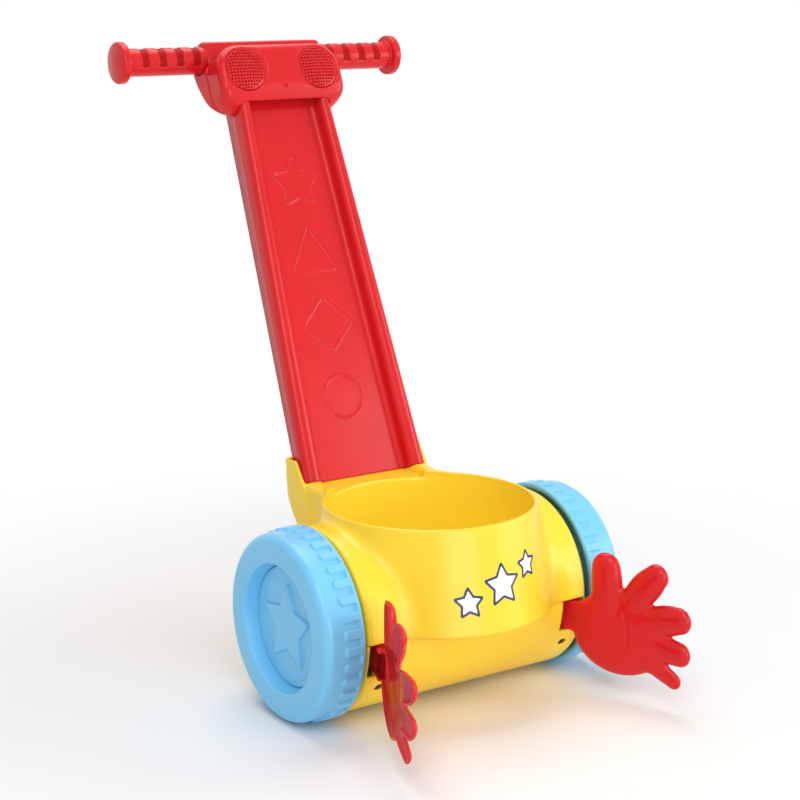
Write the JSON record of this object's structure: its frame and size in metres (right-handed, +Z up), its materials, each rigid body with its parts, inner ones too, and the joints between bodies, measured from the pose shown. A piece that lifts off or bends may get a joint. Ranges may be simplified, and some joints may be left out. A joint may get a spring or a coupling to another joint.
{
  "type": "ball collecting push walker",
  "caption": "Toddler's push toy with a round tub between two lugged wheels, hinged scoop hands in front and a leaning ball chute under a handlebar.",
  "frame": {"origin": "middle of the floor under the whole walker, at the centre of its bounding box", "axes": "+X to the right of someone facing the front, +Y to the back where the child walks, +Z up"},
  "size_m": [0.3094, 0.489, 0.5571],
  "materials": {
    "yellow_plastic": "satin moulded",
    "red_plastic": "glossy moulded",
    "blue_plastic": "satin moulded",
    "steel": "plain"
  },
  "bodies": {
    "body": {"upper_shell": "yellow_plastic", "lower_shell": "yellow_plastic", "axle": "steel", "push_nut_left": "steel", "push_nut_right": "steel", "hand_pin_left": "steel", "hand_pin_right": "steel", "body_screw_left": "steel", "body_screw_right": "steel", "chute": "red_plastic", "chute_screw_left": "steel", "chute_screw_right": "steel", "head_front": "red_plastic", "head_back": "red_plastic", "head_screw_low_left": "steel", "head_screw_low_right": "steel", "head_screw_high_left": "steel", "head_screw_high_right": "steel", "grille_left": "red_plastic", "grille_right": "red_plastic", "handle_bar": "steel", "grip_left": "red_plastic", "grip_right": "red_plastic"},
    "left_wheel": {"wheel_left": "blue_plastic", "hub_cap_left": "blue_plastic"},
    "right_wheel": {"wheel_right": "blue_plastic", "hub_cap_right": "blue_plastic"},
    "left_hand": {"hand_left": "red_plastic"},
    "right_hand": {"hand_right": "red_plastic"}
  },
  "joints": [
    {"name": "left_wheel_turn", "type": "hinge", "parent": "body", "child": "left_wheel", "pos_m": [-0.1367, -0.05631, 0.083], "axis": [1, 0, 0], "continuous": true},
    {"name": "right_wheel_turn", "type": "hinge", "parent": "body", "child": "right_wheel", "pos_m": [0.1367, -0.05631, 0.083], "axis": [1, 0, 0], "continuous": true},
    {"name": "left_hand_swing", "type": "hinge", "parent": "body", "child": "left_hand", "pos_m": [-0.097, -0.12231, 0.0685], "axis": [0, 0, 1], "range_deg": [-10, 35]},
    {"name": "right_hand_swing", "type": "hinge", "parent": "body", "child": "right_hand", "pos_m": [0.097, -0.12231, 0.0685], "axis": [0, 0, -1], "range_deg": [-10, 35]}
  ]
}
